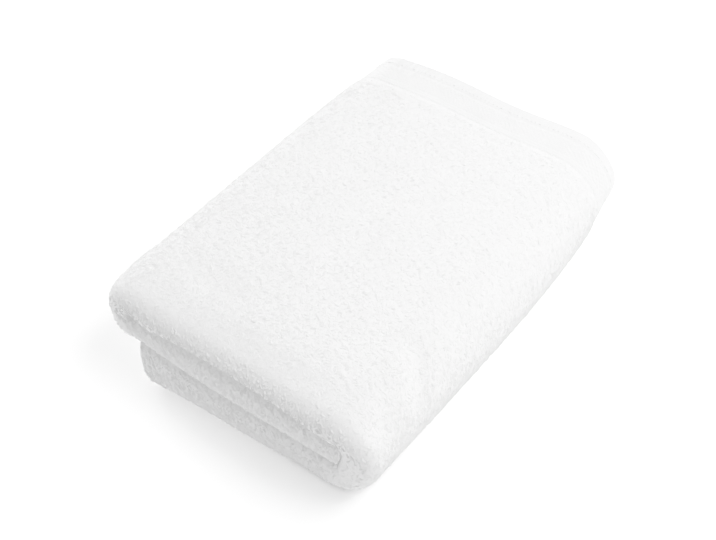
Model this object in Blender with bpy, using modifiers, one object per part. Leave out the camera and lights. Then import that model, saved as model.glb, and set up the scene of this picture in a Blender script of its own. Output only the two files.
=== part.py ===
"""A folded hand towel: one rectangle of cotton terry, 0.50 m by 1.00 m.

It is folded in quarters along its length, which gives one band of four layers, and then in
thirds across its width, which gives three bands. It lies on a flat surface, with the hidden
edge of the first third inside the wrapped fold on its right.

Frame: metres, +Z up. The origin is on the surface, under the middle of the folded towel.
+X runs across the fold, from the top lobe (-X) to the wrapped fold (+X).
+Y runs along the fold, from the rolled end (-Y) to the end with the hems (+Y).
"""
import math

import bmesh
import bpy
from mathutils import Vector

# ---------------------------------------------------------------- driving sizes
CLOTH_LENGTH = 1.000        # hem to hem
CLOTH_WIDTH = 0.500         # selvedge to selvedge
LAYER_PITCH = 0.0053        # one layer in the stack: the cloth and the air over it
TERRY_THICKNESS = 0.0045    # the cloth with the pile of both its sides
BORDER_LENGTH = 0.028       # flat-woven border and hem, at each end of the cloth
BORDER_SHARE = 0.62         # thickness of the border, as a share of the terry's
PILE_STEP = 0.004           # the pile reaches its full height this far from the border

BOTTOM_INSET = 0.020        # the bottom band stops short of the top lobe by this much
BOTTOM_ASKEW = 0.011        # and by this much more at the near end, and less at the far end
EDGE_CREEP = 0.006          # outer layers fall this much short of the middle of that edge
MIDDLE_REACH = 0.006        # the middle band's edge goes this far into the wrapped fold
FAR_FOLD_INSET = 0.010      # the hidden fold stops short of the hems at the far end
SECOND_HEM_INSET = 0.003    # so does the hem that lies under the top one
RIM_LIFT = 0.0003           # the underside's rim rises this much between the corners it rests on
RIM_STEEPNESS = 8           # and the higher this power, the narrower the rim that rises
PRESSED_FLAT = 0.00005      # what lies this close to the surface is pressed onto it

# ---------------------------------------------------------------- worked out from them
BAND = 4 * LAYER_PITCH                      # height of one band of four layers
HEIGHT = 3 * BAND
HALF_CLOTH = TERRY_THICKNESS / 2
OUTER_ROLL = 1.5 * LAYER_PITCH              # radii of the folds, to the cloth's middle
INNER_ROLL = 0.5 * LAYER_PITCH
LOBE = BAND / 2
WRAP = BAND
BAND_HALF = OUTER_ROLL + HALF_CLOTH         # from a band's middle to its outside

# Straight runs are what the folds leave of the cloth.
LONG_RUN = (CLOTH_LENGTH - math.pi * (OUTER_ROLL + 2 * INNER_ROLL)
            + 2 * FAR_FOLD_INSET + SECOND_HEM_INSET) / 4
WIDE_RUN = (CLOTH_WIDTH - math.pi * (LOBE + WRAP) - MIDDLE_REACH
            - LOBE - BAND_HALF + BOTTOM_INSET) / 3

FOLDED_LENGTH = LONG_RUN + BAND_HALF
FOLDED_WIDTH = LOBE + BAND_HALF + WIDE_RUN + WRAP + BAND_HALF
FAR = FOLDED_LENGTH / 2
ROLL_CENTRE = FAR - LONG_RUN
LEFT = -FOLDED_WIDTH / 2
LOBE_CENTRE = LEFT + LOBE + BAND_HALF
WRAP_CENTRE = LOBE_CENTRE + WIDE_RUN
FLOOR_GAP = LAYER_PITCH / 2 - HALF_CLOTH    # taken out, so that the lowest layer rests
UNDERSIDE_END = FAR - BORDER_LENGTH - PILE_STEP
UNDERSIDE_MIDDLE = (UNDERSIDE_END + ROLL_CENTRE) / 2
UNDERSIDE_HALF = (UNDERSIDE_END - ROLL_CENTRE) / 2

# The two ways that the cloth goes, each a chain of straight runs and half turns.
# A turn is in degrees, positive to the left.
ALONG_CLOTH = (
    # name, length, turn, steps
    ("border at the top hem", BORDER_LENGTH, 0, 2),
    ("edge of the top layer's pile", PILE_STEP, 0, 1),
    ("top layer", LONG_RUN - BORDER_LENGTH - PILE_STEP, 0, 9),
    ("outer roll", math.pi * OUTER_ROLL, 180, 8),
    ("lowest layer", LONG_RUN - FAR_FOLD_INSET, 0, 7),
    ("hidden far fold", math.pi * INNER_ROLL, 180, 4),
    ("third layer", LONG_RUN - FAR_FOLD_INSET, 0, 7),
    ("inner roll", math.pi * INNER_ROLL, -180, 4),
    ("second layer", LONG_RUN - SECOND_HEM_INSET - PILE_STEP - BORDER_LENGTH, 0, 7),
    ("edge of the second layer's pile", PILE_STEP, 0, 1),
    ("border at the second hem", BORDER_LENGTH, 0, 2),
)
ACROSS_CLOTH = (
    # name, length, turn, steps
    ("middle band", WIDE_RUN + MIDDLE_REACH, 0, 7),
    ("top lobe", math.pi * LOBE, -180, 7),
    ("top band", WIDE_RUN, 0, 8),
    ("wrapped fold", math.pi * WRAP, -180, 9),
    ("bottom band", WIDE_RUN + LOBE + BAND_HALF - BOTTOM_INSET, 0, 7),
)

# How the neat fold has settled: soft pushes, each strongest at its own place.
# A place is in shares of the folded width, length and height, from the origin.
# A reach and a push are in metres. Pushes up or down fade towards the lowest layer.
SETTLING = (
    # name, place (x, y, z), reach (x, y, z), push (x, y, z)
    ("top lobe's far corner", (-0.50, 0.48, 0.75), (0.040, 0.030, 0.030), (0.0030, -0.0015, 0.0)),
    ("top lobe's near end", (-0.50, -0.50, 0.60), (0.020, 0.030, 0.030), (0.0032, 0.0, 0.0)),
    ("bulge of the far edge, left", (-0.18, 0.50, 0.95), (0.045, 0.040, 0.030), (0.0, 0.0026, 0.0)),
    ("bulge of the far edge, right", (0.26, 0.50, 0.95), (0.030, 0.040, 0.030), (0.0, 0.0020, 0.0)),
    ("wrap under the hem, drawn in", (0.50, 0.50, 0.30), (0.030, 0.026, 0.022), (-0.0055, -0.0045, 0.0)),
    ("wrap's belly", (0.50, 0.12, 0.30), (0.040, 0.060, 0.030), (0.0022, 0.0, 0.0)),
    ("wrap's near corner, drawn in", (0.50, -0.48, 0.25), (0.045, 0.055, 0.035), (-0.0028, 0.0004, 0.0)),
    ("bottom band's free corner", (-0.36, -0.50, 0.05), (0.030, 0.030, 0.014), (0.0, -0.0036, 0.0)),
    ("free end, puffed up", (-0.38, -0.50, 0.36), (0.032, 0.050, 0.018), (0.0, 0.0, 0.0034)),
    ("bottom band's near roll", (-0.15, -0.50, 0.10), (0.080, 0.030, 0.020), (0.0, -0.0026, 0.0)),
    ("crown of the top", (0.0, 0.0, 1.0), (0.060, 0.090, 0.040), (0.0, 0.0, 0.0014)),
    ("middle of the near roll", (0.0, -0.50, 0.40), (0.060, 0.030, 0.020), (0.0, -0.0012, 0.0)),
    ("top band's roll, left", (-0.28, -0.50, 0.74), (0.030, 0.025, 0.016), (0.0, -0.0030, -0.0020)),
    ("top band's roll, right", (0.26, -0.50, 0.78), (0.025, 0.025, 0.018), (0.0, -0.0028, -0.0010)),
)


def walk(pieces, start, heading):
    """Stations (a, b, heading) along a chain of runs and turns, headings in degrees."""
    stations = [(*start, heading)]
    for _name, length, turn, steps in pieces:
        a, b, heading = stations[-1]
        first = math.radians(heading)
        for step in range(1, steps + 1):
            if turn:
                now = first + math.radians(turn) * step / steps
                radius = length / math.radians(turn)
                stations.append((a + radius * (math.sin(now) - math.sin(first)),
                                 b - radius * (math.cos(now) - math.cos(first)),
                                 math.degrees(now)))
            else:
                done = length * step / steps
                stations.append((a + done * math.cos(first), b + done * math.sin(first), heading))
    return stations


def settle(point):
    """Where a point of the neat fold comes to lie in the settled towel."""
    x, y, z = point
    size = (FOLDED_WIDTH, FOLDED_LENGTH, HEIGHT)
    moved = [x, y, z]
    for _name, place, reach, push in SETTLING:
        away = sum(((point[i] - place[i] * size[i]) / reach[i]) ** 2 for i in range(3))
        strength = math.exp(-away)
        moved[0] += push[0] * strength
        moved[1] += push[1] * strength
        moved[2] += push[2] * strength * min(1, max(0, z - HALF_CLOTH) / BAND)
    return moved


def length_stations():
    """(y, height in the band) along the cloth, from the top hem to the second hem."""
    return [station[:2] for station in walk(ALONG_CLOTH, (FAR, OUTER_ROLL), 180)]


def width_stations():
    """(x, z, heading, share) across the cloth, from the hidden edge to the edge at the bottom.

    The share is 0 up to the bottom band and grows to 1 along it.
    """
    stations = walk(ACROSS_CLOTH, (WRAP_CENTRE + MIDDLE_REACH, 1.5 * BAND), 180)
    free_steps = ACROSS_CLOTH[-1][-1]
    first_free = len(stations) - 1 - free_steps
    return [(*station, max(0, i - first_free) / free_steps) for i, station in enumerate(stations)]


def rim_lift(y, share):
    """How far the underside's rim rises off the surface, none at its corners or within it."""
    across = 2 * share - 1
    along = max(-1, min(1, (y - UNDERSIDE_MIDDLE) / UNDERSIDE_HALF))
    near_ends = (1 - across ** 2) * along ** RIM_STEEPNESS
    near_sides = (1 - along ** 2) * across ** RIM_STEEPNESS
    return RIM_LIFT * (near_ends + near_sides)


def folded_point(y, h, x, z, heading, share):
    """A point of the cloth: y along the fold, h out from the middle of its band."""
    across = math.radians(heading)
    free = share * (EDGE_CREEP * h / OUTER_ROLL - BOTTOM_ASKEW * y / FAR)
    x, y, z = settle((x - h * math.sin(across) + free, y, z + h * math.cos(across) - FLOOR_GAP))
    return x, y, z + rim_lift(y, share)


def middle_of(points):
    """The point of the surface below that lies under the middle of the folded towel."""
    x_low = min(point[0] for point in points)
    x_high = max(point[0] for point in points)
    y_low = min(point[1] for point in points) - HALF_CLOTH      # the rolled end's outside
    y_high = max(point[1] for point in points)                  # the top hem's edge
    return Vector(((x_low + x_high) / 2, (y_low + y_high) / 2, 0.0))


def terry_material():
    """White cotton terry: matt, a little warm."""
    material = bpy.data.materials.new("terry_white")
    material.use_nodes = True
    surface = material.node_tree.nodes["Principled BSDF"]
    surface.inputs["Base Color"].default_value = (0.83, 0.83, 0.82, 1.0)
    surface.inputs["Roughness"].default_value = 0.95
    surface.inputs["Metallic"].default_value = 0.0
    return material


def towel():
    """The cloth's middle surface, folded from a flat grid, then given its thickness."""
    along = length_stations()
    across = width_stations()
    last_row = len(along) - 1
    last_column = len(across) - 1
    points = [[folded_point(*row, *column) for column in across] for row in along]
    middle = middle_of([point for row in points for point in row])

    cloth = bmesh.new()
    bmesh.ops.create_grid(cloth, x_segments=last_column, y_segments=last_row, size=0.5)
    pile_layer = cloth.verts.layers.deform.verify()
    first_pile_row = ALONG_CLOTH[0][-1] + 1
    for vert in cloth.verts:
        row = round((vert.co.y + 0.5) * last_row)
        column = round((vert.co.x + 0.5) * last_column)
        vert.co = Vector(points[row][column]) - middle
        in_pile = first_pile_row <= row <= last_row - first_pile_row
        vert[pile_layer][0] = 1.0 if in_pile else BORDER_SHARE

    mesh = bpy.data.meshes.new("towel")
    cloth.to_mesh(mesh)
    cloth.free()
    mesh.shade_smooth()
    mesh.materials.append(terry_material())

    folded = bpy.data.objects.new("towel", mesh)
    folded.vertex_groups.new(name="pile")
    thickness = folded.modifiers.new("cloth and pile", "SOLIDIFY")
    thickness.thickness = TERRY_THICKNESS
    thickness.offset = 0.0
    thickness.vertex_group = "pile"
    return folded


def press_flat(folded):
    """Applies the thickness, and levels the underside where the towel rests."""
    bpy.context.view_layer.update()
    evaluated = folded.evaluated_get(bpy.context.evaluated_depsgraph_get())
    mesh = bpy.data.meshes.new_from_object(evaluated)
    for vert in mesh.vertices:
        if vert.co.z < PRESSED_FLAT:
            vert.co.z = 0.0
    mesh.name = "towel, pressed flat"
    folded.modifiers.clear()
    folded.data = mesh


def main():
    for old in list(bpy.context.scene.objects):
        bpy.data.objects.remove(old, do_unlink=True)
    collection = bpy.data.collections.new("hand towel")
    bpy.context.scene.collection.children.link(collection)
    folded = towel()
    collection.objects.link(folded)
    press_flat(folded)


if __name__ == "__main__":
    main()
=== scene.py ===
# %% [markdown]
# # A folded hand towel
#
# The real thing is one rectangle of white cotton terry, half a metre by one metre. It is folded in
# quarters along its length and then in thirds across its width, and it lies on a flat surface.
# Terry is a woven ground with thousands of yarn loops standing on it, so this lesson models three
# things: the folded ground, the loops on it, and the flat-woven border at each end.
# Everything is first laid out on the flat cloth, where it is simple, and then sent through one
# function that folds it. That is also how the real towel is made: woven flat, then folded.

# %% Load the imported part
import math

import bpy
import numpy as np
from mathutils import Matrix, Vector


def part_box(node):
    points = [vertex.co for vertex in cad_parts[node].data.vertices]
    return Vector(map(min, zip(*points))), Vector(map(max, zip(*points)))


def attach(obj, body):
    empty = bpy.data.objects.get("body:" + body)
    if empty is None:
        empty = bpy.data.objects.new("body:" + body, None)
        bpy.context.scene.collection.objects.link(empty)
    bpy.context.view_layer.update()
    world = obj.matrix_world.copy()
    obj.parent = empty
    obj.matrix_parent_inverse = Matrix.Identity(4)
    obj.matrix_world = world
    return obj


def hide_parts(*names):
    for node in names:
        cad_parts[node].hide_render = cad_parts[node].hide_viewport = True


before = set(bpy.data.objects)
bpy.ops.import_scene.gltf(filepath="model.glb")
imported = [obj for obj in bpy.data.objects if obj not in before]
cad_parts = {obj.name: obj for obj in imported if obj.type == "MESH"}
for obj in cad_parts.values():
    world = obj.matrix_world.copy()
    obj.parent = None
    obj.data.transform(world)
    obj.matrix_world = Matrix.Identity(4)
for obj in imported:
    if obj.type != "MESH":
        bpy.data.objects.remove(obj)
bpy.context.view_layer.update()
towel_box = [np.array(corner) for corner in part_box("towel")]
print("the packed part, in millimetres:", np.round((towel_box[1] - towel_box[0]) * 1000, 1))

# %% [markdown]
# ## Sizes
#
# The cloth's own sizes come first, and everything else is worked out from them. The part's source
# has the same numbers, so the visible towel lies in the solid that stands for it. A fold's radius
# is half the stack of layers that it goes around.

# %% Sizes of the cloth and of its folds
CLOTH_LENGTH = 1.000        # hem to hem
CLOTH_WIDTH = 0.500         # selvedge to selvedge
LAYER_PITCH = 0.0053        # one layer in the stack: the cloth and the air over it
HALF_CLOTH = 0.00225        # from the cloth's middle to the pile's tips
BORDER_LENGTH = 0.028       # hem and flat-woven border, at each end of the cloth
HALF_BORDER = 0.0014        # from the middle of the border to its surface
PILE_STEP = 0.004           # the pile reaches its full height this far from the border

BOTTOM_INSET = 0.020        # the bottom band stops short of the top lobe by this much
BOTTOM_ASKEW = 0.011        # and by this much more at the near end, and less at the far end
EDGE_CREEP = 0.006          # outer layers fall this much short of the middle of that edge
MIDDLE_REACH = 0.006        # the middle band's edge goes this far into the wrapped fold
FAR_FOLD_INSET = 0.010      # the hidden fold stops short of the hems at the far end
SECOND_HEM_INSET = 0.003    # so does the hem that lies under the top one

BAND = 4 * LAYER_PITCH      # height of one band of four layers
HEIGHT = 3 * BAND
OUTER_ROLL = 1.5 * LAYER_PITCH
INNER_ROLL = 0.5 * LAYER_PITCH
LOBE = BAND / 2
WRAP = BAND
BAND_HALF = OUTER_ROLL + HALF_CLOTH
LONG_RUN = (CLOTH_LENGTH - math.pi * (OUTER_ROLL + 2 * INNER_ROLL)
            + 2 * FAR_FOLD_INSET + SECOND_HEM_INSET) / 4
WIDE_RUN = (CLOTH_WIDTH - math.pi * (LOBE + WRAP) - MIDDLE_REACH
            - LOBE - BAND_HALF + BOTTOM_INSET) / 3
FOLDED_LENGTH = LONG_RUN + BAND_HALF
FOLDED_WIDTH = LOBE + BAND_HALF + WIDE_RUN + WRAP + BAND_HALF
FAR = FOLDED_LENGTH / 2
WRAP_CENTRE = -FOLDED_WIDTH / 2 + LOBE + BAND_HALF + WIDE_RUN
FLOOR_GAP = LAYER_PITCH / 2 - HALF_CLOTH
print(f"folded: {FOLDED_WIDTH * 1000:.0f} by {FOLDED_LENGTH * 1000:.0f} by {HEIGHT * 1000:.0f} mm")

# %% [markdown]
# ## The way the cloth goes
#
# Seen from its side, a folded cloth is a chain of straight runs and half turns. One chain goes
# along the cloth, from the top hem round the rolls at the near end to the second hem. The other
# goes across it, from the edge inside the big fold to the edge at the bottom. The last column is
# how many steps the cloth's mesh takes there: few where it is flat or hidden, many in a turn.

# %% The two chains
# name, length, turn in degrees (positive to the left), steps
ALONG_CLOTH = (
    ("border at the top hem", BORDER_LENGTH, 0, 4),
    ("edge of the top layer's pile", PILE_STEP, 0, 2),
    ("top layer", LONG_RUN - BORDER_LENGTH - PILE_STEP, 0, 60),
    ("outer roll", math.pi * OUTER_ROLL, 180, 18),
    ("lowest layer", LONG_RUN - FAR_FOLD_INSET, 0, 26),
    ("hidden far fold", math.pi * INNER_ROLL, 180, 8),
    ("third layer", LONG_RUN - FAR_FOLD_INSET, 0, 20),
    ("inner roll", math.pi * INNER_ROLL, -180, 8),
    ("second layer", LONG_RUN - SECOND_HEM_INSET - PILE_STEP - BORDER_LENGTH, 0, 20),
    ("edge of the second layer's pile", PILE_STEP, 0, 2),
    ("border at the second hem", BORDER_LENGTH, 0, 4),
)
ACROSS_CLOTH = (
    ("middle band", WIDE_RUN + MIDDLE_REACH, 0, 22),
    ("top lobe", math.pi * LOBE, -180, 18),
    ("top band", WIDE_RUN, 0, 34),
    ("wrapped fold", math.pi * WRAP, -180, 28),
    ("bottom band", WIDE_RUN + LOBE + BAND_HALF - BOTTOM_INSET, 0, 28),
)


def marks(chain):
    """Distance along a chain to the start of each piece, by name, and to its end."""
    names = [row[0] for row in chain] + ["end"]
    return dict(zip(names, np.concatenate(([0], np.cumsum([row[1] for row in chain])))))


def walk_to(chain, start, heading, distance):
    """Where each distance along a chain comes to: its two coordinates and its heading there."""
    a, b = start
    first = math.radians(heading)
    done = 0.0
    place = None
    for _name, length, turn, _steps in chain:
        on = np.append(distance.ravel() - done, length)
        if turn:
            radius = length / math.radians(turn)
            now = first + on / radius
            piece = (a + radius * (np.sin(now) - math.sin(first)),
                     b - radius * (np.cos(now) - math.cos(first)), now)
        else:
            piece = (a + on * math.cos(first), b + on * math.sin(first), np.full_like(on, first))
        if place is None:
            place = [values[:-1] for values in piece]
        else:
            place = [np.where(on[:-1] >= 0, new[:-1], old) for new, old in zip(piece, place)]
        a, b, first = (values[-1] for values in piece)
        done += length
    return [values.reshape(distance.shape) for values in place]


U = marks(ALONG_CLOTH)      # u runs along the cloth
V = marks(ACROSS_CLOTH)     # v runs across it
print(f"chains: {U['end']:.3f} m along, {V['end']:.3f} m across")

# %% [markdown]
# ## How it has settled
#
# A towel folded by hand is never square. Soft pushes, each strongest at its own place, bulge an
# edge or draw a corner in, and creases do the same along a short line. A bell curve is used for
# both because it fades to nothing smoothly, so the layers inside follow the ones outside.

# %% Pushes and creases
# name, place (x, y, z) in shares of the folded size, reach, push
SETTLING = (
    ("top lobe's far corner", (-0.50, 0.48, 0.75), (0.040, 0.030, 0.030), (0.0030, -0.0015, 0.0)),
    ("top lobe's near end", (-0.50, -0.50, 0.60), (0.020, 0.030, 0.030), (0.0032, 0.0, 0.0)),
    ("bulge of the far edge, left", (-0.21, 0.50, 0.95), (0.045, 0.040, 0.030), (0.0, 0.0046, 0.0)),
    ("bulge of the far edge, right", (0.32, 0.50, 0.95), (0.034, 0.040, 0.030), (0.0, 0.0038, 0.0)),
    ("wrap's far corner, bulged", (0.50, 0.46, 0.74), (0.022, 0.026, 0.015), (0.0022, 0.0, 0.0)),
    ("wrap under the hem", (0.50, 0.50, 0.30), (0.030, 0.026, 0.022), (-0.0055, -0.0045, 0.0)),
    ("wrap's belly", (0.50, 0.12, 0.30), (0.040, 0.060, 0.030), (0.0022, 0.0, 0.0)),
    ("wrap's near corner", (0.50, -0.48, 0.25), (0.045, 0.055, 0.035), (-0.0030, 0.0008, 0.0)),
    ("bottom's free corner", (-0.36, -0.50, 0.05), (0.030, 0.030, 0.014), (0.0, -0.0036, 0.0)),
    ("free end, puffed up", (-0.38, -0.50, 0.36), (0.032, 0.050, 0.018), (0.0, 0.0, 0.0034)),
    ("free end's upper corner", (-0.34, -0.50, 0.30), (0.020, 0.030, 0.010), (-0.0006, 0.0, 0.0)),
    ("edge inside the wrap, near end", (0.315, -0.50, 0.52), (0.018, 0.040, 0.014), (0.0092, 0.0, 0.0)),
    ("wrap's inner wall, near end", (0.410, -0.50, 0.46), (0.009, 0.040, 0.012), (-0.0058, 0.0, 0.0)),
    ("groove between the lower rolls", (0.05, -0.50, 0.33), (0.130, 0.030, 0.016), (0.0, 0.0, 0.0024)),
    ("top's near edge, pressed down", (0.02, -0.50, 0.95), (0.075, 0.018, 0.012), (0.0, 0.0, -0.0055)),
    ("groove under the top roll", (0.02, -0.50, 0.69), (0.090, 0.030, 0.014), (0.0, 0.0012, 0.0008)),
    ("bottom's near roll, right", (0.25, -0.50, 0.05), (0.028, 0.030, 0.020), (0.0, 0.0018, 0.0)),
    ("far corner of the top", (0.46, 0.50, 0.90), (0.020, 0.020, 0.030), (-0.0010, -0.0012, 0.0)),
    ("bottom's near roll", (-0.15, -0.50, 0.10), (0.080, 0.030, 0.020), (0.0, -0.0020, 0.0)),
    ("crown of the top", (0.0, 0.0, 1.0), (0.060, 0.090, 0.040), (0.0, 0.0, 0.0014)),
    ("middle of the near roll", (0.0, -0.50, 0.40), (0.060, 0.030, 0.020), (0.0, -0.0012, 0.0)),
    ("top roll, left", (-0.28, -0.50, 0.74), (0.030, 0.025, 0.016), (0.0, -0.0016, 0.0)),
    ("top roll, right", (0.26, -0.50, 0.78), (0.025, 0.025, 0.018), (0.0, -0.0014, 0.0)),
)
# name, start and end (x, y, z) in metres, half width, push
CREASES = (
    ("dent in the wrap's shoulder", (0.074, -0.066, 0.060), (0.089, -0.083, 0.048), 0.0060,
     (-0.0010, 0.0, -0.0014)),
    ("dent by the near corner", (0.078, -0.094, 0.058), (0.084, -0.108, 0.050), 0.0070,
     (-0.0010, 0.0, -0.0012)),
    ("ridge between them", (0.070, -0.080, 0.064), (0.080, -0.096, 0.058), 0.0060,
     (0.0003, 0.0, 0.0010)),
    ("trough across the top", (-0.010, 0.012, 0.064), (-0.004, -0.030, 0.064), 0.0140,
     (0.0, 0.0, -0.0012)),
    ("trough by the lobe", (-0.058, 0.030, 0.064), (-0.062, 0.075, 0.062), 0.0130,
     (0.0, 0.0, -0.0010)),
    ("hollow behind the near roll", (-0.050, -0.092, 0.064), (-0.020, -0.096, 0.064), 0.0120,
     (0.0, 0.0, -0.0009)),
    ("lobe's near end, sagging", (-0.088, -0.124, 0.027), (-0.080, -0.124, 0.021), 0.0090,
     (-0.0032, 0.0, -0.0046)),
    ("lobe's shoulder, near end", (-0.0915, -0.098, 0.046), (-0.0915, -0.112, 0.046), 0.0130,
     (-0.0024, 0.0, 0.0008)),
    ("trough before the border", (-0.030, 0.088, 0.064), (0.030, 0.092, 0.064), 0.0070,
     (0.0, 0.0, -0.0007)),
)


def soft_step(value, start, end):
    """0 before start, 1 after end, and a soft step between."""
    share = np.clip((value - start) / (end - start), 0, 1)
    return share * share * (3 - 2 * share)


def settle(points):
    """Where points of the neat fold come to lie in the settled towel."""
    size = np.array((FOLDED_WIDTH, FOLDED_LENGTH, HEIGHT))
    free = np.clip((points[..., 2] - HALF_CLOTH) / BAND, 0, 1)
    moved = points.copy()
    for _name, place, reach, push in SETTLING:
        away = (((points - np.array(place) * size) / reach) ** 2).sum(axis=-1)
        strength = np.exp(-away)
        moved[..., 0] += push[0] * strength
        moved[..., 1] += push[1] * strength
        moved[..., 2] += push[2] * strength * free
    for _name, start, end, half_width, push in CREASES:
        line = np.array(end) - start
        share = np.clip((points - start) @ line / (line @ line), 0, 1)
        nearest = start + share[..., None] * line
        away = (((points - nearest) / half_width) ** 2).sum(axis=-1)
        moved += np.array(push) * np.exp(-away)[..., None]
    return moved


print(f"{len(SETTLING)} pushes and {len(CREASES)} creases")

# %% [markdown]
# ## From flat cloth to folded towel
#
# `fold` is the heart of the lesson. It takes points of the flat cloth, u along it, v across it and
# a height out from its middle, and gives their places in the folded towel. Whatever is built on
# the flat cloth, a loop, a stitch or a woven rib, bends with the folds once it goes through here.
# At the near end the rolls lie on one another. Each is fuller and swells where it is pressed, so
# that only soft, shallow grooves stay between them. Last, everything is shifted by a millimetre or
# two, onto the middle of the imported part's box.

# %% The fold
ROLL_CENTRE = FAR - LONG_RUN
PRESSED_FULLNESS = 3.2      # 2 would leave a roll round, and more makes it squarer
OPEN_FULLNESS = 2.3
CROWN_FULLNESS = 2.2        # the top face bends down to the near end in a wide, soft curve
SWELL = 0.42                # where rolls are pressed together they are this much thicker
SWELL_START = 0.005         # and the swelling comes in over this length of a roll
BAND_BLEND = 0.010          # a band's shape fades into the next one's over this, each way
WRAP_PRESSED = (V["wrapped fold"] - 0.024, V["wrapped fold"] - 0.002)   # the wrap is pressed from here on
LOBE_MIDDLE = (V["top lobe"] + V["top band"]) / 2
WRAP_MIDDLE = (V["wrapped fold"] + V["bottom band"]) / 2
JOINED = V["top band"] + 0.0155     # beside the lobe's hollow the top roll is pressed down too
JOINED_REACH = 0.010
# middle along v, half width and depth: the lobe's hollow, two small ones by the wrapped fold, and
# a stretch of it that is filled instead
HOLLOWS = ((LOBE_MIDDLE, 0.010, 1.0), (WRAP_MIDDLE + 0.014, 0.0030, 0.9),
           (V["bottom band"] + 0.003, 0.0025, 0.9), (WRAP_MIDDLE, 0.016, -0.7))
RIM_LIFT = 0.0003           # the underside's rim rises this much between its corners
RIM_STEEPNESS = 8
NEVER_ZERO = 1e-9           # keeps a division safe
UNDERSIDE_END = FAR - BORDER_LENGTH - PILE_STEP
UNDERSIDE_MIDDLE = (UNDERSIDE_END + FAR - LONG_RUN) / 2
UNDERSIDE_HALF = (UNDERSIDE_END - FAR + LONG_RUN) / 2


def press_roll(y, h, v):
    """The rolls at the near end swell against one another and are fuller there than outside."""
    ahead = np.maximum(ROLL_CENTRE - y, 0)
    reach = np.hypot(ahead, h) + NEVER_ZERO
    middle_band = 1 - soft_step(v, V["top lobe"] - BAND_BLEND, V["top lobe"] + BAND_BLEND)
    bottom_band = soft_step(v, V["bottom band"] - BAND_BLEND, V["bottom band"] + BAND_BLEND)
    wrap = soft_step(v, *WRAP_PRESSED) * (1 - bottom_band)
    joined = np.exp(-((v - JOINED) / JOINED_REACH) ** 2)
    pressed = np.minimum(middle_band + bottom_band + wrap + joined, 1) * (h < 0)
    crown = (soft_step(v, V["top lobe"], LOBE_MIDDLE)
             * (1 - soft_step(v, V["wrapped fold"], WRAP_MIDDLE)))
    fullness = (OPEN_FULLNESS + (PRESSED_FULLNESS - OPEN_FULLNESS) * pressed
                + (CROWN_FULLNESS - OPEN_FULLNESS) * crown * (h > 0))
    corner = (ahead / reach) ** fullness + np.abs(h / reach) ** fullness
    stretch = corner ** (-1 / fullness)
    hollow = sum(depth * np.exp(-((v - middle) / half_width) ** 2)
                 for middle, half_width, depth in HOLLOWS)
    swell = 1 + SWELL * pressed * (1 - np.minimum(hollow, 1)) * soft_step(ahead, 0.0, SWELL_START)
    return np.where(ahead > 0, ROLL_CENTRE - ahead * stretch, y), h * stretch * swell


def neat_fold(u, v, out):
    """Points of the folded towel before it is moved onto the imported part."""
    y, h, along = walk_to(ALONG_CLOTH, (FAR, OUTER_ROLL), 180, u)
    x, z, across = walk_to(ACROSS_CLOTH, (WRAP_CENTRE + MIDDLE_REACH, 1.5 * BAND), 180, v)
    share = np.clip((v - V["bottom band"]) / (V["end"] - V["bottom band"]), 0, 1)
    free = share * (EDGE_CREEP * h / OUTER_ROLL - BOTTOM_ASKEW * y / FAR)
    y, h = press_roll(y + out * np.sin(along), h - out * np.cos(along), v)
    points = np.stack((x - h * np.sin(across) + free, y, z + h * np.cos(across) - FLOOR_GAP), axis=-1)
    points = settle(points)
    on_along = np.clip((y - UNDERSIDE_MIDDLE) / UNDERSIDE_HALF, -1, 1)
    on_across = 2 * share - 1
    points[..., 2] += RIM_LIFT * ((1 - on_across ** 2) * on_along ** RIM_STEEPNESS
                                  + (1 - on_along ** 2) * on_across ** RIM_STEEPNESS)
    return points


ONTO_PART = np.array((-0.0009, 0.0014, 0.0))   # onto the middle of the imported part's box


def fold(u, v, out):
    """Where points of the flat cloth lie in the folded towel, in metres."""
    u, v, out = np.broadcast_arrays(u, v, out)
    return neat_fold(u, v, out) + ONTO_PART


near_corner = fold(U["outer roll"], V["wrapped fold"], HALF_CLOTH)
print("near right corner of the top face, in millimetres:", np.round(near_corner * 1000, 1))

# %% [markdown]
# ## Small helpers
#
# Meshes with a regular pattern are quickest to make from arrays. `closed_sheet` makes a cloth of
# two faces joined at the rim. `tube_faces` closes rings of points into tubes, for the loops and the
# stitches. `evenly` finds places an even distance apart on the folded surface, because a fold's
# outside is longer than its inside.

# %% Mesh helpers
def triangles(piece):
    """How many triangles a mesh object's faces make."""
    return len(piece.data.loops) - 2 * len(piece.data.polygons)


def add_object(name, points, faces, material, normals=None):
    """A smooth mesh object from arrays of points and faces, with its own normals if given."""
    mesh = bpy.data.meshes.new(name)
    mesh.from_pydata(points.reshape(-1, 3), [], faces)
    mesh.shade_smooth()
    if normals is not None:
        mesh.normals_split_custom_set_from_vertices(normals.reshape(-1, 3))
    mesh.materials.append(material)
    piece = bpy.data.objects.new(name, mesh)
    bpy.context.scene.collection.objects.link(piece)
    print(f"{name}: {triangles(piece):,} triangles")
    return piece


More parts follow.
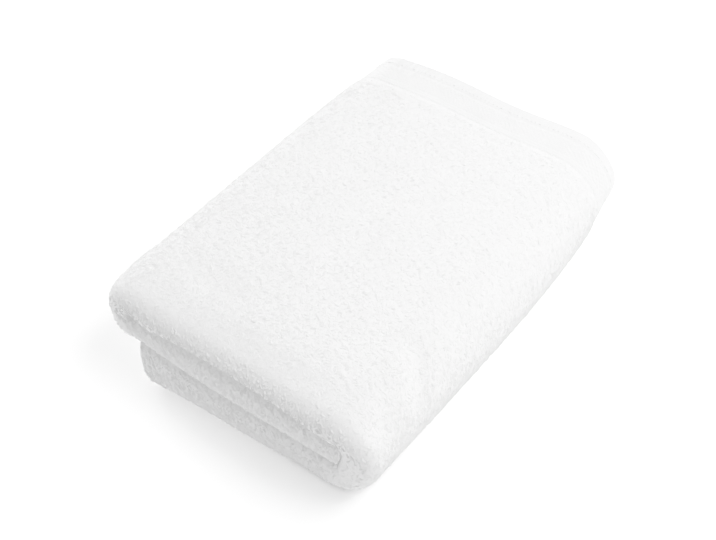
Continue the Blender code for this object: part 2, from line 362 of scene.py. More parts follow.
def closed_sheet(name, u, v, outer, inner, material):
    """A closed cloth over the lines u and v; outer and inner are the heights of its faces."""
    grid_u, grid_v = np.meshgrid(u, v, indexing="ij")
    rows, columns = grid_u.shape
    top = fold(grid_u, grid_v, outer(grid_u, grid_v))
    under = fold(grid_u, grid_v, -inner(grid_u, grid_v))
    index = np.arange(rows * columns).reshape(rows, columns)
    face = np.stack((index[:-1, :-1], index[1:, :-1], index[1:, 1:], index[:-1, 1:]), axis=-1)
    rim = np.concatenate((index[0, :-1], index[:-1, -1], index[-1, :0:-1], index[:0:-1, 0]))
    after = np.roll(rim, -1)
    lower = rows * columns
    sides = np.stack((rim, after, after + lower, rim + lower), axis=-1)
    quads = np.concatenate((face.reshape(-1, 4), face.reshape(-1, 4)[:, ::-1] + lower, sides))
    return add_object(name, np.concatenate((top.reshape(-1, 3), under.reshape(-1, 3))), quads, material)


def tube_faces(count, rings, sides):
    """Faces of many tubes with the same number of rings, closed at both ends and facing out."""
    around = np.arange(sides)
    after = (around + 1) % sides
    quads = np.concatenate([np.stack((around, after, after + sides, around + sides), axis=-1)
                            + ring * sides for ring in range(rings - 1)])
    ends = np.array([around[::-1], around + (rings - 1) * sides])
    first_points = np.arange(count)[:, None, None] * rings * sides
    return [face for shape in (quads, ends)
            for face in (first_points + shape).reshape(-1, shape.shape[1]).tolist()]


def lines_of(chain, rims=(0.0003, 0.0010, 0.0022, 0.0040)):
    """A mesh's lines along a chain, closer together at its two ends, where the cloth is rounded."""
    lines = [0.0]
    for _name, length, _turn, steps in chain:
        lines.extend(lines[-1] + length * np.arange(1, steps + 1) / steps)
    near_end = [lines[-1] - rim for rim in rims]
    return np.unique(np.round([*lines, *rims, *near_end], 7))


def rounded(distance, radius, least=0.02):
    """1 well inside an edge, falling along a quarter circle to almost 0 at it."""
    inside = np.clip(distance / radius, 0, 1)
    return np.sqrt(np.clip(1 - (1 - inside) ** 2, least, 1))


def unit(vectors):
    """The same directions with a length of 1."""
    return vectors / np.linalg.norm(vectors, axis=-1, keepdims=True)


def evenly(path, start, end, pitch, samples=1500):
    """Values from start to end that lie a pitch apart on the folded surface."""
    fine = np.linspace(start, end, samples)
    steps = np.linalg.norm(np.diff(path(fine), axis=0), axis=1)
    length = np.concatenate(([0], np.cumsum(steps)))
    count = max(1, round(length[-1] / pitch))
    return np.interp((np.arange(count) + 0.5) / count * length[-1], length, fine)


print("helpers ready")

# %% [markdown]
# ## Cotton
#
# White cotton is matt, with a faint bright rim where fine fibres catch the light, which is what the
# shader's sheen is for. Two effects are shared by every yarn here, so each is a node group: a soft,
# barely visible change of tone from place to place, and the fuzz of the fibres as a fine bump.

# %% Helpers for shader nodes
def set_inputs(node, values):
    """Gives a node's inputs plain values, by their names."""
    for name, value in values.items():
        node.inputs[name].default_value = value


def math_node(tree, operation, *values):
    """The output of a math node; each value is a number or another node's output."""
    node = tree.nodes.new("ShaderNodeMath")
    node.operation = operation
    for socket, value in zip(node.inputs, values):
        if isinstance(value, bpy.types.NodeSocket):
            tree.links.new(value, socket)
        else:
            socket.default_value = value
    return node.outputs[0]


def range_node(tree, value, before, after, interpolation="LINEAR"):
    """The output of a node that maps the range before onto the range after."""
    node = tree.nodes.new("ShaderNodeMapRange")
    node.interpolation_type = interpolation
    set_inputs(node, dict(zip(("From Min", "From Max", "To Min", "To Max"), (*before, *after))))
    tree.links.new(value, node.inputs["Value"])
    return node.outputs["Result"]


def noise_node(tree, scale, detail, roughness=0.5):
    """The output of a noise over the object's own coordinates, with its scale from a socket."""
    place = tree.nodes.new("ShaderNodeTexCoord")
    noise = tree.nodes.new("ShaderNodeTexNoise")
    set_inputs(noise, {"Detail": detail, "Roughness": roughness})
    tree.links.new(place.outputs["Object"], noise.inputs["Vector"])
    tree.links.new(scale, noise.inputs["Scale"])
    return noise.outputs["Fac"]


def new_group(name, inputs, outputs):
    """A shader node group with named inputs and outputs."""
    group = bpy.data.node_groups.new(name, "ShaderNodeTree")
    for socket_name, kind, value in inputs:
        socket = group.interface.new_socket(socket_name, in_out="INPUT", socket_type="NodeSocket" + kind)
        socket.default_value = value
    for socket_name, kind in outputs:
        group.interface.new_socket(socket_name, in_out="OUTPUT", socket_type="NodeSocket" + kind)
    start = group.nodes.new("NodeGroupInput")
    end = group.nodes.new("NodeGroupOutput")
    return group, start, end


print("node helpers ready")

# %% Shared cotton effects
TONE_SPREAD = (0.70, 1.30)      # what two noises together come to, from the shaded to the light yarn
YARN_ROUGHNESS = (0.88, 1.0)


def cotton_tone_group():
    """Colour of the yarn: two close whites, mixed by a soft noise and a finer one."""
    group, start, end = new_group(
        "cotton tone",
        [("Light Yarn", "Color", (0.9, 0.9, 0.9, 1)), ("Shaded Yarn", "Color", (0.8, 0.8, 0.8, 1)),
         ("Patch Scale", "Float", 60.0), ("Yarn Scale", "Float", 900.0)],
        [("Color", "Color"), ("Roughness", "Float")])
    patches = noise_node(group, start.outputs["Patch Scale"], detail=3.0)
    yarns = noise_node(group, start.outputs["Yarn Scale"], detail=2.0)
    light_share = range_node(group, math_node(group, "ADD", patches, yarns), TONE_SPREAD, (0.0, 1.0))
    mix = group.nodes.new("ShaderNodeMix")
    mix.data_type = "RGBA"
    group.links.new(light_share, mix.inputs["Factor"])
    group.links.new(start.outputs["Shaded Yarn"], mix.inputs["A"])
    group.links.new(start.outputs["Light Yarn"], mix.inputs["B"])
    group.links.new(mix.outputs["Result"], end.inputs["Color"])
    group.links.new(range_node(group, yarns, (0.0, 1.0), YARN_ROUGHNESS), end.inputs["Roughness"])
    return group


def fibre_fuzz_group():
    """Height of the fibres on a yarn: fine noise, with a coarser one that clumps them."""
    group, start, end = new_group(
        "fibre fuzz", [("Fibre Scale", "Float", 3000.0), ("Clump Scale", "Float", 700.0)],
        [("Height", "Float")])
    fibres = noise_node(group, start.outputs["Fibre Scale"], detail=2.0, roughness=0.7)
    clumps = noise_node(group, start.outputs["Clump Scale"], detail=1.0)
    group.links.new(math_node(group, "ADD", fibres, clumps), end.inputs["Height"])
    return group


COTTON_TONE = cotton_tone_group()
FIBRE_FUZZ = fibre_fuzz_group()
print("groups:", COTTON_TONE.name, "and", FIBRE_FUZZ.name)

# %% [markdown]
# ## Materials of the towel
#
# The pile, the ground between the loops, the flat-woven border and the sewing thread are the same
# cotton in other forms. Each gets the shared groups with its own values. What is the same all over
# a surface, such as sheen, is set on the shader's own socket, so that it survives an export.

# %% The cotton materials
def cotton(name, light, shaded, patch_scale, yarn_scale, fibre_scale, fuzz_depth, sheen):
    """A white cotton material between two grey levels; fuzz_depth is the bump's depth in metres."""
    material = bpy.data.materials.new(name)
    material.use_nodes = True
    nodes, links = material.node_tree.nodes, material.node_tree.links
    shader = nodes["Principled BSDF"]
    set_inputs(shader, {"Metallic": 0.0, "Specular IOR Level": 0.25, "Sheen Weight": sheen,
                        "Sheen Roughness": 0.6, "Sheen Tint": (1.0, 1.0, 1.0, 1.0)})
    tone = nodes.new("ShaderNodeGroup")
    tone.node_tree = COTTON_TONE
    set_inputs(tone, {"Light Yarn": (light, light, light, 1.0), "Patch Scale": patch_scale,
                      "Shaded Yarn": (shaded, shaded, shaded, 1.0), "Yarn Scale": yarn_scale})
    links.new(tone.outputs["Color"], shader.inputs["Base Color"])
    links.new(tone.outputs["Roughness"], shader.inputs["Roughness"])
    fuzz = nodes.new("ShaderNodeGroup")
    fuzz.node_tree = FIBRE_FUZZ
    set_inputs(fuzz, {"Fibre Scale": fibre_scale})
    bump = nodes.new("ShaderNodeBump")
    set_inputs(bump, {"Distance": fuzz_depth})
    links.new(fuzz.outputs["Height"], bump.inputs["Height"])
    links.new(bump.outputs["Normal"], shader.inputs["Normal"])
    return material


# name, light and shaded yarn, scales of the patches, yarns and fibres, depth of the fuzz, sheen
COTTONS = (
    ("white terry pile", 0.87, 0.84, 70, 600, 2600, 0.00012, 0.25),
    ("terry ground", 0.87, 0.84, 90, 500, 2600, 0.00012, 0.2),
    ("flat-woven border", 0.845, 0.81, 50, 1200, 3500, 0.00008, 0.15),
    ("sewing thread", 0.90, 0.84, 50, 1500, 4000, 0.00005, 0.1),
)
PILE_COTTON, GROUND_COTTON, BORDER_COTTON, THREAD_COTTON = (cotton(*row) for row in COTTONS)
print("materials:", ", ".join(row[0] for row in COTTONS))

# %% [markdown]
# ## The ground cloth
#
# The ground is the woven sheet that holds the loops, and inside the stack it stands for cloth and
# pile together, because single loops don't show there. Its outer face is lower where real loops
# will stand on it. The long edges are selvedges, woven flat without loops, so the cloth thins over
# their last few millimetres. At the rolled end the selvedges are tucked in, and it stays thick.

# %% Heights of the ground's faces
GROUND_FACE = 0.00194       # height of the outer face under modelled loops
PRESSED_FACE = 0.0021       # and where they are pressed flat, between two rolls
LOW_EDGE = 0.0013           # half thickness where the pile meets the border
ROLL_MIDDLE = (U["outer roll"] + U["lowest layer"]) / 2
PRESSED = (ROLL_MIDDLE + 0.001, ROLL_MIDDLE + 0.009)    # from standing loops to pressed ones
SELVEDGE = 0.0045           # width of the flat-woven long edges
SELVEDGE_STEP = (SELVEDGE - 0.001, SELVEDGE + 0.003)    # from selvedge to full pile
HALF_SELVEDGE = 0.0010
TUCK = 0.012                # the selvedges are tucked in over this length before and after a turn
RIM_ROUND = 0.0010
PILE_FACE_END = U["lowest layer"] + 0.006       # loops are modelled on the outer face up to here
PILE_FACE_STEP = 0.006      # and over this length the ground takes their place
HEM_OVERLAP = 0.0015        # the ground reaches this far into the border


def selvedge_share(u, v):
    """1 in the pile, 0 in the selvedges; where the cloth turns over, they are tucked in."""
    turned = soft_step(u, U["outer roll"] - TUCK, U["outer roll"]) * (
        1 - soft_step(u, U["lowest layer"], U["lowest layer"] + TUCK))
    flat = soft_step(np.minimum(v, V["end"] - v), *SELVEDGE_STEP)
    return flat + (1 - flat) * turned


def rim_share(u, v):
    """Rounds the ground off at its four rims."""
    along = np.minimum(u - BORDER_LENGTH + HEM_OVERLAP, U["end"] - BORDER_LENGTH + HEM_OVERLAP - u)
    across = np.minimum(v, V["end"] - v)
    return rounded(np.maximum(along, 0), RIM_ROUND) * rounded(across, RIM_ROUND)


def pile_edge(u):
    """Half thickness along the cloth, which drops towards the borders."""
    step = soft_step(np.minimum(u, U["end"] - u), BORDER_LENGTH, BORDER_LENGTH + PILE_STEP)
    return LOW_EDGE + (HALF_CLOTH - LOW_EDGE) * step


def pressed_share(u):
    """1 on the lower half of the near rolls, where the loops are pressed flat between two rolls."""
    return soft_step(u, *PRESSED)


def ground_outer(u, v):
    """Height of the outer face, which the loops stand on."""
    under_loops = 1 - soft_step(u, PILE_FACE_END, PILE_FACE_END + PILE_FACE_STEP)
    face = GROUND_FACE + (PRESSED_FACE - GROUND_FACE) * pressed_share(u)
    full = pile_edge(u)
    height = full + (face - full) * under_loops * (full > face)
    height = HALF_SELVEDGE + (height - HALF_SELVEDGE) * selvedge_share(u, v)
    return height * rim_share(u, v)


def ground_inner(u, v):
    """Height of the inner face, which stands for cloth and pile together."""
    height = HALF_SELVEDGE + (pile_edge(u) - HALF_SELVEDGE) * selvedge_share(u, v)
    return height * rim_share(u, v)


print(f"outer face: {GROUND_FACE * 1000:.2f} mm high under the loops, {HALF_CLOTH * 1000:.2f} mm beyond")

# %% The ground cloth
ground_u = lines_of(ALONG_CLOTH)
ground_u = ground_u[(ground_u > BORDER_LENGTH) & (ground_u < U["end"] - BORDER_LENGTH)]
border_ends = np.array((0.0, 0.0005, 0.0010)) - HEM_OVERLAP     # lines of the rims in the borders
ground_u = np.concatenate((BORDER_LENGTH + border_ends, ground_u,
                           U["end"] - BORDER_LENGTH - border_ends[::-1]))
ground = closed_sheet("terry_ground", ground_u, lines_of(ACROSS_CLOTH),
                      ground_outer, ground_inner, GROUND_COTTON)

# %% [markdown]
# ## One loop of pile
#
# A terry loop is a short bow of soft yarn with both its feet in the ground. After a few washes the
# loops lie low and no two are alike, so each is a low arch that turns and bows its own way. Seen
# whole, a loop is a pixel or two wide, so a tube of three sides through four rings is enough. Its
# ends lie inside the ground, where they don't show.

# %% The shape of the loops
LOOP_RINGS = 4
LOOP_SIDES = 3
YARN_RADIUS = 0.00066
YARN_FLATNESS = 0.6         # soft yarn lies wider than it is high
SPAN = (0.0020, 0.0048)     # from foot to foot, as the loop lies
CREST = (0.0018, 0.0022)    # height of the yarn's middle at the top of the loop
FOOT = 0.0010               # and at its feet, inside the ground
ARCH = 0.7                  # under 1, the arch rises fast and is flatter on top
BOW = 0.35                  # the most that it bows sideways, as a share of its span
YARN_SPREAD = (0.8, 1.25)   # some yarns are thinner than others
FOOT_THICKNESS = 0.75       # of the yarn's full thickness
UPWARD = np.array((0.0, 0.0, 1.0))


def loop_points(rng, lean_way):
    """Points (along, across, out) of one loop for each entry of lean_way, around its middle."""
    count = len(lean_way)
    crest = rng.uniform(*CREST, count)
    span = rng.uniform(*SPAN, count)
    bow = rng.uniform(-BOW, BOW, count) * span
    radius = YARN_RADIUS * rng.uniform(*YARN_SPREAD, count)

    t = np.linspace(0.0, 1.0, LOOP_RINGS)
    up = np.sin(math.pi * t)
    lean = np.stack((np.cos(lean_way), np.sin(lean_way)), axis=-1)
    cross = np.stack((-lean[:, 1], lean[:, 0]), axis=-1)
    flat = (lean[:, None] * (span[:, None] * (t - 0.5))[..., None]
            + cross[:, None] * (bow[:, None] * (up - 0.5))[..., None])
    height = FOOT + (crest[:, None] - FOOT) * up ** ARCH
    middle = np.concatenate((flat, height[..., None]), axis=-1)

    tangent = unit(np.gradient(middle, axis=1))
    first = unit(UPWARD - (tangent @ UPWARD)[..., None] * tangent)
    second = np.cross(tangent, first)
    thick = radius[:, None] * (FOOT_THICKNESS + (1 - FOOT_THICKNESS) * up)
    angles = 2 * math.pi * np.arange(LOOP_SIDES) / LOOP_SIDES
    ring = (first[:, :, None] * np.cos(angles)[:, None] * YARN_FLATNESS
            + second[:, :, None] * np.sin(angles)[:, None])
    return middle[:, :, None] + ring * thick[:, :, None, None]


print("one loop:", 2 * (LOOP_RINGS - 1) * LOOP_SIDES + 2, "triangles")

# %% [markdown]
# ## The pile
#
# The loops stand in rows, as the loom sets them, but shaken out of line. They lean in patches,
# where a hand or the tumble dryer brushed them the same way, and on a steep side they hang down.
# The pile is made zone by zone, so that no mesh grows too large: each zone is a stretch of the
# cloth between two values of u and two of v. Soft yarn lets light through, so a loop is shaded
# partly with its own direction and partly with the cloth's, which keeps the white pile soft. On the
# front of the top roll the loops stand out into the light from above, so their shading turns up.

# %% Patches and tufts
TUFT_WAVES = 12
TUFT_SIZES = (0.0030, 0.0060)       # a tuft and the gap after it
TUFT_HEIGHT = 0.00014


def patch_angle(u, v):
    """A direction that wanders slowly over the cloth, from a few crossing waves."""
    waves = (np.sin(u * 310 + 2.0 * np.sin(v * 170)) + np.sin(v * 370 + 1.7 * np.sin(u * 210) + 1.0)
             + np.sin((u + v) * 640 + 2.0) + np.sin((u - v) * 950 + 0.5))
    return 1.6 * waves


def tufts(u, v):
    """Loops gather into soft tufts: their height, -1 to 1, and how it slopes along u and v."""
    rng = np.random.default_rng(5)
    height, slope_u, slope_v = np.zeros_like(u), np.zeros_like(u), np.zeros_like(u)
    for _ in range(TUFT_WAVES):
        turn = rng.uniform(0, math.pi)
        pace = 2 * math.pi / rng.uniform(*TUFT_SIZES)
        phase = pace * (u * math.cos(turn) + v * math.sin(turn)) + rng.uniform(0, 2 * math.pi)
        height += np.sin(phase)
        slope_u += np.cos(phase) * pace * math.cos(turn)
        slope_v += np.cos(phase) * pace * math.sin(turn)
    scale = 1 / math.sqrt(TUFT_WAVES)
    return height * scale, slope_u * scale, slope_v * scale


print(f"tufts of {TUFT_SIZES[0] * 1000:.0f} to {TUFT_SIZES[1] * 1000:.0f} mm")

# %% One zone of pile
PILE_MIDDLE = 0.0014        # height of the middle of the loops
SHAKEN = 0.45               # how far a loop is out of line, at most, in shares of the pitch
STRAY = 0.9                 # how far it turns from its patch's way, in radians
HANG = 1.5                  # how much the loops hang down on a steep side
LOWEST_EDGE = 0.74          # beside the border the loops are this share of their full height
PRESSED_FLAT = 0.07         # and this share is taken off it between two rolls
NEAR = 1e-4                 # how far apart two points are when the cloth's direction is measured
SOFTNESS = 0.70             # share of the cloth's own direction in the pile's shading
LIT_FROM_ABOVE = 1.2        # how far the shading turns up on the top roll's front
CROWN_HEIGHTS = (0.0395, 0.0465)    # which starts between these heights


def loop_places(rng, u_range, v_range, pitch):
    """Places on the flat cloth that lie a pitch apart in the towel, shaken out of line."""
    u_middle, v_middle = (sum(pair) / 2 for pair in (u_range, v_range))
    rows = evenly(lambda u: fold(u, v_middle, PILE_MIDDLE), *u_range, pitch)
    columns = evenly(lambda v: fold(u_middle, v, PILE_MIDDLE), *v_range, pitch)
    u, v = (grid.ravel() for grid in np.meshgrid(rows, columns, indexing="ij"))
    u = u + rng.uniform(-SHAKEN, SHAKEN, u.size) * (u_range[1] - u_range[0]) / len(rows)
    v = v + rng.uniform(-SHAKEN, SHAKEN, v.size) * (v_range[1] - v_range[0]) / len(columns)
    return u, v


def pile_zone(name, seed, u_range, v_range, pitch):
    """A joined mesh of all the loops of one zone of the cloth's outer face."""
    rng = np.random.default_rng(seed)
    u, v = loop_places(rng, u_range, v_range, pitch)
    along = (fold(u + NEAR, v, PILE_MIDDLE) - fold(u - NEAR, v, PILE_MIDDLE)) / (2 * NEAR)
    across = (fold(u, v + NEAR, PILE_MIDDLE) - fold(u, v - NEAR, PILE_MIDDLE)) / (2 * NEAR)
    stretch_u = np.linalg.norm(along, axis=-1)
    stretch_v = np.linalg.norm(across, axis=-1)
    patch = patch_angle(u, v) + rng.normal(0, STRAY, u.size)
    lean_way = np.arctan2(np.sin(patch) - HANG * across[:, 2] / stretch_v,
                          np.cos(patch) - HANG * along[:, 2] / stretch_u)
    loops = loop_points(rng, lean_way)
    at_u = u[:, None, None] + loops[..., 0] / stretch_u[:, None, None]
    at_v = v[:, None, None] + loops[..., 1] / stretch_v[:, None, None]
    tuft, slope_u, slope_v = tufts(u, v)
    lower = np.maximum(pile_edge(u) / HALF_CLOTH, LOWEST_EDGE) * (1 - PRESSED_FLAT * pressed_share(u))
    points = fold(at_u, at_v, (loops[..., 2] + TUFT_HEIGHT * tuft[:, None, None]) * lower[:, None, None])
    yarn_way = unit(points - points.mean(axis=2, keepdims=True))
    uphill = (slope_u[:, None] * along / stretch_u[:, None] ** 2
              + slope_v[:, None] * across / stretch_v[:, None] ** 2)
    cloth_way = unit(unit(np.cross(along, across)) - TUFT_HEIGHT * uphill)
    on_crown = np.maximum(-cloth_way[:, 1], 0) * soft_step(points[:, 0, 0, 2], *CROWN_HEIGHTS)
    cloth_way = unit(cloth_way + LIT_FROM_ABOVE * on_crown[:, None] * UPWARD)
    normals = unit(SOFTNESS * cloth_way[:, None, None] + (1 - SOFTNESS) * yarn_way)
    return add_object(name, points, tube_faces(u.size, LOOP_RINGS, LOOP_SIDES), PILE_COTTON, normals)


print(f"loops are up to {SHAKEN} of the pitch out of line")

# %% The pile, zone by zone
PITCH = 0.00150
HIDDEN_PITCH = 0.0022       # under the lobe, where little shows
ROLL_START = U["outer roll"]
FLAT = (BORDER_LENGTH - 0.0010, ROLL_START)         # stretches of u: the top layer
ROLLS = (ROLL_START, U["lowest layer"] + 0.004)     # and the rolls at its near end
PILE_RIM = 0.0012           # at the rolled end the pile hides the selvedge up to here
TOP_MIDDLE = V["top band"] + WIDE_RUN / 2
WRAP_END = V["bottom band"] - 0.006         # beyond this the wrap's loops would lie under the towel
UNDER_LOBE = V["top lobe"] - 0.034          # from here on the lobe's underside can be seen
# name, stretch of u, stretch of v, pitch
PILE_ZONES = (
    ("pile_top_1", FLAT, (V["top band"], TOP_MIDDLE), PITCH),
    ("pile_top_2", FLAT, (TOP_MIDDLE, V["wrapped fold"]), PITCH),
    ("pile_lobe", FLAT, (V["top lobe"], V["top band"]), PITCH),
    ("pile_wrap_upper", FLAT, (V["wrapped fold"], WRAP_MIDDLE), PITCH),
    ("pile_wrap_lower", FLAT, (WRAP_MIDDLE, WRAP_END), PITCH),
    ("pile_lobe_underside", FLAT, (UNDER_LOBE, V["top lobe"]), HIDDEN_PITCH),
    ("pile_rolls_middle", ROLLS, (PILE_RIM, V["top lobe"]), PITCH),
    ("pile_rolls_top", ROLLS, (V["top lobe"], V["bottom band"]), PITCH),
    ("pile_rolls_bottom", ROLLS, (V["bottom band"], V["end"] - PILE_RIM), PITCH),
)
pile = [pile_zone(name, seed, u_range, v_range, pitch)
        for seed, (name, u_range, v_range, pitch) in enumerate(PILE_ZONES, start=11)]

# %% [markdown]
# ## The woven border
#
# At each end the loom stops making loops and weaves flat for a few centimetres: a band with a small
# all-over lattice, closed off by two fine cords, and then the hem, which is turned under and sewn.
# The relief is shallow, half a millimetre, but it catches the light, so it is real geometry on a
# fine grid rather than a bump.

# %% The weave's relief
HEM = 0.0095                # width of the turned hem
HEM_STEP = (HEM - 0.0006, HEM + 0.0004)
HEM_RISE = 0.00035          # the turned layers stand this much over the border
RIB_HEIGHT = 0.00004        # of the fine ribs across the hem
RIB_PITCH = 0.0011
RIBS_END = (HEM - 0.001, HEM)
LATTICE_PITCH = 0.0030
LATTICE_HEIGHT = 0.00056
LATTICE_START = (HEM + 0.0010, HEM + 0.0020)
LATTICE_END = (0.0225, 0.0235)
CORD_LINES = (0.0245, 0.0264)
CORD_HALF = 0.0006
CORD_HEIGHT = 0.00046
PUCKER_HEIGHT = 0.00022     # the hem's stitches gather it in small puckers
PUCKER_PITCH = 0.0047
PUCKERS_END = (0.006, 0.020)
PUCKERED = V["top band"] + 0.012    # they are deepest here, near the lobe
PUCKERED_REACH = 0.025
PUCKER_LEAST = 0.35         # and elsewhere this share of that


def ridge(distance, half_width):
    """A soft ridge of height 1."""
    return np.exp(-(distance / half_width) ** 2)


def border_relief(u, v):
    """Height of the weave over the border's plain face; u is the distance from the hem's edge."""
    hem = HEM_RISE * (1 - soft_step(u, *HEM_STEP))
    hem_ribs = RIB_HEIGHT * np.sin(v * 2 * math.pi / RIB_PITCH) * (1 - soft_step(u, *RIBS_END))
    in_band = soft_step(u, *LATTICE_START) * (1 - soft_step(u, *LATTICE_END))
    diamonds = (np.abs(np.sin(math.pi * (u + v) / LATTICE_PITCH))
                * np.abs(np.sin(math.pi * (u - v) / LATTICE_PITCH)))
    cords = sum(ridge(u - line, CORD_HALF) for line in CORD_LINES)
    gathered = PUCKER_LEAST + (1 - PUCKER_LEAST) * ridge(v - PUCKERED, PUCKERED_REACH)
    # the puckers' phase wanders along the hem, and they slant a little
    phase = v * 2 * math.pi / PUCKER_PITCH + 2.2 * np.sin(v * 130) + u * 90
    puckers = PUCKER_HEIGHT * gathered * np.sin(phase) * (1 - soft_step(u, *PUCKERS_END))
    return hem + hem_ribs + LATTICE_HEIGHT * in_band * diamonds + CORD_HEIGHT * cords + puckers


print(f"lattice of {LATTICE_PITCH * 1000:.0f} mm, {len(CORD_LINES)} cords")

# %% The borders
BORDER_TUCK = 0.0006        # the border goes this far under the pile
HEM_ROUND = 0.0012
INNER_RELIEF = 0.3          # share of the relief that shows on the inner face
FINE_ALONG = 0.00072        # the fine grid's step along the cloth, and across it
FINE_ACROSS = 0.00078
COARSE_ALONG = 0.0014       # the second border is mostly hidden, so its grid is coarser
SECOND_STEPS = 190
HIDDEN_STEPS = 30
SHOWN_START = V["top lobe"] - 0.004     # the top border shows from here to the bottom band
MEASURED_AT = 0.010         # distance from the hem's edge at which steps across are evened out


def border(name, u_lines, v_lines, from_edge):
    """A closed strip of border cloth; from_edge gives the distance from its hem's edge."""
    def height(u, v, share):
        edge = from_edge(u)
        rims = rounded(edge, HEM_ROUND) * rounded(BORDER_LENGTH + BORDER_TUCK - edge, BORDER_TUCK)
        relief = share * border_relief(edge, v)
        return (HALF_BORDER + relief) * rims * rounded(np.minimum(v, V["end"] - v), RIM_ROUND)

    return closed_sheet(name, u_lines, v_lines, lambda u, v: height(u, v, 1.0),
                        lambda u, v: height(u, v, INNER_RELIEF), BORDER_COTTON)


tucked = [BORDER_LENGTH + 0.0002, BORDER_LENGTH + BORDER_TUCK]
edge_lines = np.concatenate(([0, 0.0002, 0.0005], np.arange(0.0009, BORDER_LENGTH, FINE_ALONG), tucked))
shown = evenly(lambda v: fold(MEASURED_AT, v, HALF_BORDER), SHOWN_START, V["bottom band"], FINE_ACROSS)
hidden = [*np.linspace(0, SHOWN_START - 0.002, HIDDEN_STEPS),
          *np.linspace(V["bottom band"] + 0.002, V["end"], HIDDEN_STEPS)]
selvedge_lines = [0, 0.0003, 0.0010, V["end"] - 0.0010, V["end"] - 0.0003, V["end"]]
top_border = border("woven_border_top", edge_lines, np.unique([*shown, *hidden, *selvedge_lines]),
                    lambda u: u)
second_lines = np.concatenate(([0, 0.0003, 0.0007], np.arange(0.0012, BORDER_LENGTH, COARSE_ALONG),
                               tucked))
second_v = np.unique([*np.linspace(0, V["end"], SECOND_STEPS), *selvedge_lines])
second_border = border("woven_border_second", U["end"] - second_lines[::-1], second_v,
                       lambda u: U["end"] - u)

# %% [markdown]
# ## Hem stitches
#
# The hem is held by one line of lockstitch near its inner edge. A stitch is a short thread that
# dives into the cloth at both ends, so each is a small tube whose ends lie below the surface.

# %% The stitches
STITCH_PITCH = 0.0030
STITCH_LINE = HEM - 0.0018
THREAD_RADIUS = 0.00018
STITCH_RINGS = 5
STITCH_SIDES = 6
STITCH_HALF = 0.42          # half a stitch, as a share of the pitch
STITCH_RISE = 0.0001        # its middle lies this much over the cloth
STITCH_DIVE = 0.0006        # and its ends this much lower than that


def stitch_row(name, places, at_u, face):
    """A joined mesh of stitches along v, one at each place, on the face at that height."""
    t = np.linspace(-1, 1, STITCH_RINGS)
    angles = 2 * math.pi * np.arange(STITCH_SIDES) / STITCH_SIDES
    along = places[:, None, None] + (t * STITCH_PITCH * STITCH_HALF)[:, None]
    across = at_u + THREAD_RADIUS * np.cos(angles)
    lift = STITCH_RISE - STITCH_DIVE * np.abs(t) ** 3
    out = face + lift[:, None] - THREAD_RADIUS * np.sin(angles)
    faces = tube_faces(len(places), STITCH_RINGS, STITCH_SIDES)
    return add_object(name, fold(across, along, out), faces, THREAD_COTTON)


stitch_places = evenly(lambda v: fold(STITCH_LINE, v, HALF_BORDER), SHOWN_START, V["bottom band"],
                       STITCH_PITCH)
stitches = stitch_row("hem_stitches", stitch_places, STITCH_LINE, HALF_BORDER + HEM_RISE)

# %% [markdown]
# ## Riding on the part's body
#
# Every visible piece rides on the part's one body, and the ground stands for the plain solid.

# %% Ride and replace
parts = [*pile, top_border, second_border, stitches]
pieces = [ground, *parts]
for piece in pieces:
    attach(piece, "root")
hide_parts("towel")
print(len(pieces), "pieces,", f"{sum(triangles(piece) for piece in pieces):,} triangles")

# %% [markdown]
# ## Floor, light and camera
#
# The photo is high key: a white floor, a white towel, and shade only on the near end and under it.
# The world gives most of the light, as a white studio does. One large soft lamp, above and behind
# on the right, gives it a direction, and a weaker one stands low on the left. Lamps alone would
# leave the floor gray beside the towel, so light is painted onto it: the floor glows faintly,
# though no lamp is under it. Under the towel the painted glow is off, and the thin dark line of
# contact stays. The camera was fitted to the towel's outline in the photo.

# %% The floor
FLOOR_SIZE = 12.0
FLOOR_WHITE = 0.95
FLOOR_ROUGHNESS = 0.9
# painted light: the floor glows faintly, though no lamp is under it, which lifts it to white
FLOOR_GLOW = 0.35
UNLIT = {"X": (0.0105, 0.0715), "Y": (0.0005, 0.1255)}      # middle and half size of the dark patch
UNLIT_ROUNDING = 0.030      # its corners are as round as the towel's
UNLIT_EDGE = (-0.005, 0.0)  # distance past its rim, from no glow to full glow

half = FLOOR_SIZE / 2
floor_mesh = bpy.data.meshes.new("floor")
floor_mesh.from_pydata([(-half, -half, 0), (half, -half, 0), (half, half, 0), (-half, half, 0)], [],
                       [(0, 1, 2, 3)])
floor = bpy.data.objects.new("floor", floor_mesh)
bpy.context.scene.collection.objects.link(floor)
floor_paint = bpy.data.materials.new("white floor")
floor_paint.use_nodes = True
floor_tree = floor_paint.node_tree
floor_shader = floor_tree.nodes["Principled BSDF"]
set_inputs(floor_shader, {"Base Color": (FLOOR_WHITE, FLOOR_WHITE, FLOOR_WHITE, 1),
                          "Roughness": FLOOR_ROUGHNESS, "Emission Color": (1, 1, 1, 1)})
floor_place = floor_tree.nodes.new("ShaderNodeTexCoord")
floor_ways = floor_tree.nodes.new("ShaderNodeSeparateXYZ")
floor_tree.links.new(floor_place.outputs["Object"], floor_ways.inputs["Vector"])
past_rims = []
for way, (middle, half_size) in UNLIT.items():
    off_middle = math_node(floor_tree, "SUBTRACT", floor_ways.outputs[way], middle)
    distance = math_node(floor_tree, "ABSOLUTE", off_middle)
    past_rims.append(math_node(floor_tree, "SUBTRACT", distance, half_size))
past_rim = math_node(floor_tree, "SMOOTH_MAX", *past_rims, UNLIT_ROUNDING)
# painted light: no glow in the patch under the towel, rising to full glow just past its rim
glow = range_node(floor_tree, past_rim, UNLIT_EDGE, (0.0, FLOOR_GLOW), "SMOOTHSTEP")
floor_tree.links.new(glow, floor_shader.inputs["Emission Strength"])
floor_mesh.materials.append(floor_paint)
print(f"floor: {FLOOR_SIZE:.0f} m wide")

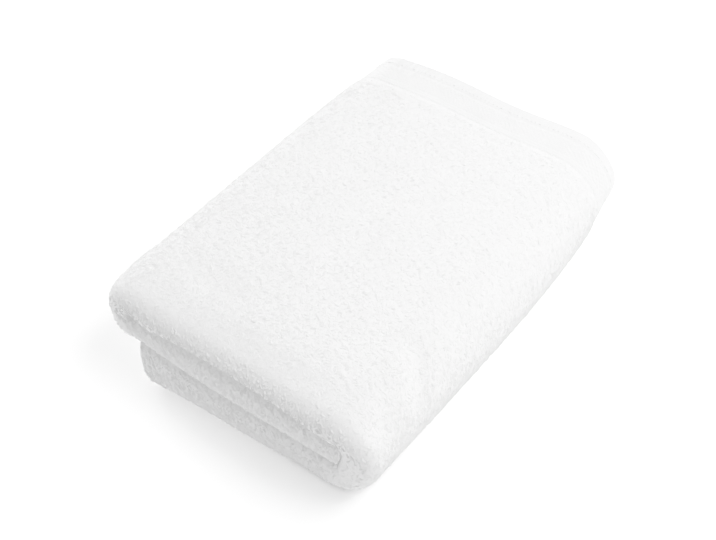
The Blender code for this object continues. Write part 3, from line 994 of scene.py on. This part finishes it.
# %% The light
BRIGHT_SIDE = (0.12, 0.60, 0.82)    # the studio is brightest above, behind and to the right
SKY = (0.35, 0.95)          # its brightness on the dim side and on the bright one
SKY_TURN = (-0.6, 1.0)      # and how far towards the bright side each is reached
LAMP_SIZE = 0.6
LAMP_AIM = Vector((0, 0, 0.03))
DIFFUSE_BOUNCES = 8         # white cloth passes light on many times

world = bpy.data.worlds.new("white studio")
world.use_nodes = True
sky = world.node_tree
background = sky.nodes["Background"]
set_inputs(background, {"Color": (1, 1, 1, 1)})
direction = sky.nodes.new("ShaderNodeTexCoord")
facing = sky.nodes.new("ShaderNodeVectorMath")
facing.operation = "DOT_PRODUCT"
facing.inputs[1].default_value = Vector(BRIGHT_SIDE).normalized()
sky.links.new(direction.outputs["Generated"], facing.inputs[0])
brightness = range_node(sky, facing.outputs["Value"], SKY_TURN, SKY, "SMOOTHSTEP")
sky.links.new(brightness, background.inputs["Strength"])
bpy.context.scene.world = world
bpy.context.scene.cycles.diffuse_bounces = DIFFUSE_BOUNCES


def lamp(name, place, power):
    """A square soft lamp that faces the towel."""
    light = bpy.data.lights.new(name, "AREA")
    light.size = LAMP_SIZE
    light.energy = power
    holder = bpy.data.objects.new(name, light)
    holder.location = place
    holder.rotation_euler = (LAMP_AIM - Vector(place)).to_track_quat("-Z", "Y").to_euler()
    bpy.context.scene.collection.objects.link(holder)
    print(f"{name}: {power} W")


lamp("soft lamp above right", (0.44, 0.20, 0.83), 8.6)
lamp("low soft lamp left", (-0.80, 0.08, 0.22), 6.2)

# %% The tone curve
# scene light in, light of the picture out; the highlights are pressed together, as film does
TONE_CURVE = ((0.0, 0.0), (0.10, 0.26), (0.35, 0.46), (0.73, 0.612),
              (1.02, 0.752), (1.30, 0.860), (1.44, 0.927), (1.66, 1.0))
WHITE_LEVEL = TONE_CURVE[-1][0]
view = bpy.context.scene.view_settings
view.view_transform = "Standard"
view.use_curve_mapping = True
tone = view.curve_mapping
tone.white_level = (WHITE_LEVEL, WHITE_LEVEL, WHITE_LEVEL)
curve_points = tone.curves[3].points
for light_in, light_out in TONE_CURVE[1:-1]:
    curve_points.new(light_in / WHITE_LEVEL, light_out)
tone.update()
print("tone curve through", len(curve_points), "points")

# %% The camera
PHOTO_WIDTH = 716
FOCAL_PIXELS = 1083
SENSOR_WIDTH = 36.0
CAMERA_AZIMUTH = math.radians(36.25)
CAMERA_ELEVATION = math.radians(47.09)
CAMERA_DISTANCE = 0.6616
LOOK_AT = Vector((-0.0175, 0.0080, 0.0))

camera_data = bpy.data.cameras.new("camera")
camera_data.sensor_width = SENSOR_WIDTH
camera_data.lens = FOCAL_PIXELS * SENSOR_WIDTH / PHOTO_WIDTH
camera = bpy.data.objects.new("camera", camera_data)
towards_camera = Vector((math.sin(CAMERA_AZIMUTH) * math.cos(CAMERA_ELEVATION),
                         -math.cos(CAMERA_AZIMUTH) * math.cos(CAMERA_ELEVATION),
                         math.sin(CAMERA_ELEVATION)))
camera.location = LOOK_AT + towards_camera * CAMERA_DISTANCE
camera.rotation_euler = (-towards_camera).to_track_quat("-Z", "Y").to_euler()
bpy.context.scene.collection.objects.link(camera)
bpy.context.scene.camera = camera
print(f"camera: {camera_data.lens:.1f} mm lens at", [round(value, 3) for value in camera.location])
